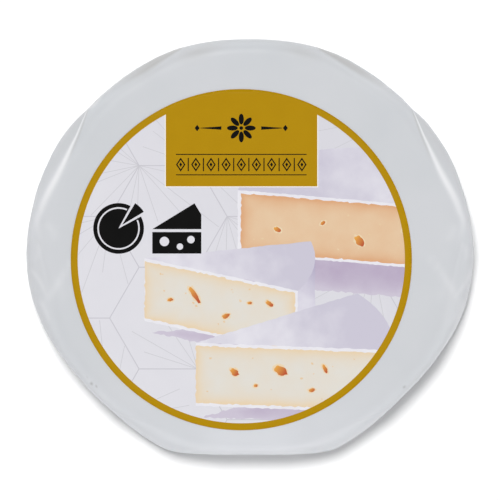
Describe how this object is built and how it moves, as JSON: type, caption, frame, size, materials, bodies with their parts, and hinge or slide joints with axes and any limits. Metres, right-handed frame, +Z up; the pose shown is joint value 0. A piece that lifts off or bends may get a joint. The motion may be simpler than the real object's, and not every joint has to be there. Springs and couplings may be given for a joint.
{
  "type": "brie wheel",
  "caption": "Shut wheel of soft white cheese in a folded white wrapper, with a round paper label on its flat top.",
  "frame": {"origin": "on the surface below the pack, under the middle of its outline", "axes": "+Z up through the label, +Y towards the top of the label, +X to the right of the label"},
  "size_m": [0.237, 0.2202, 0.0303],
  "materials": {
    "wrapper": "laminated white, semi-gloss",
    "label": "printed paper, satin"
  },
  "bodies": {
    "root": {"wrapped_wheel": "wrapper", "label": "label"}
  },
  "joints": []
}
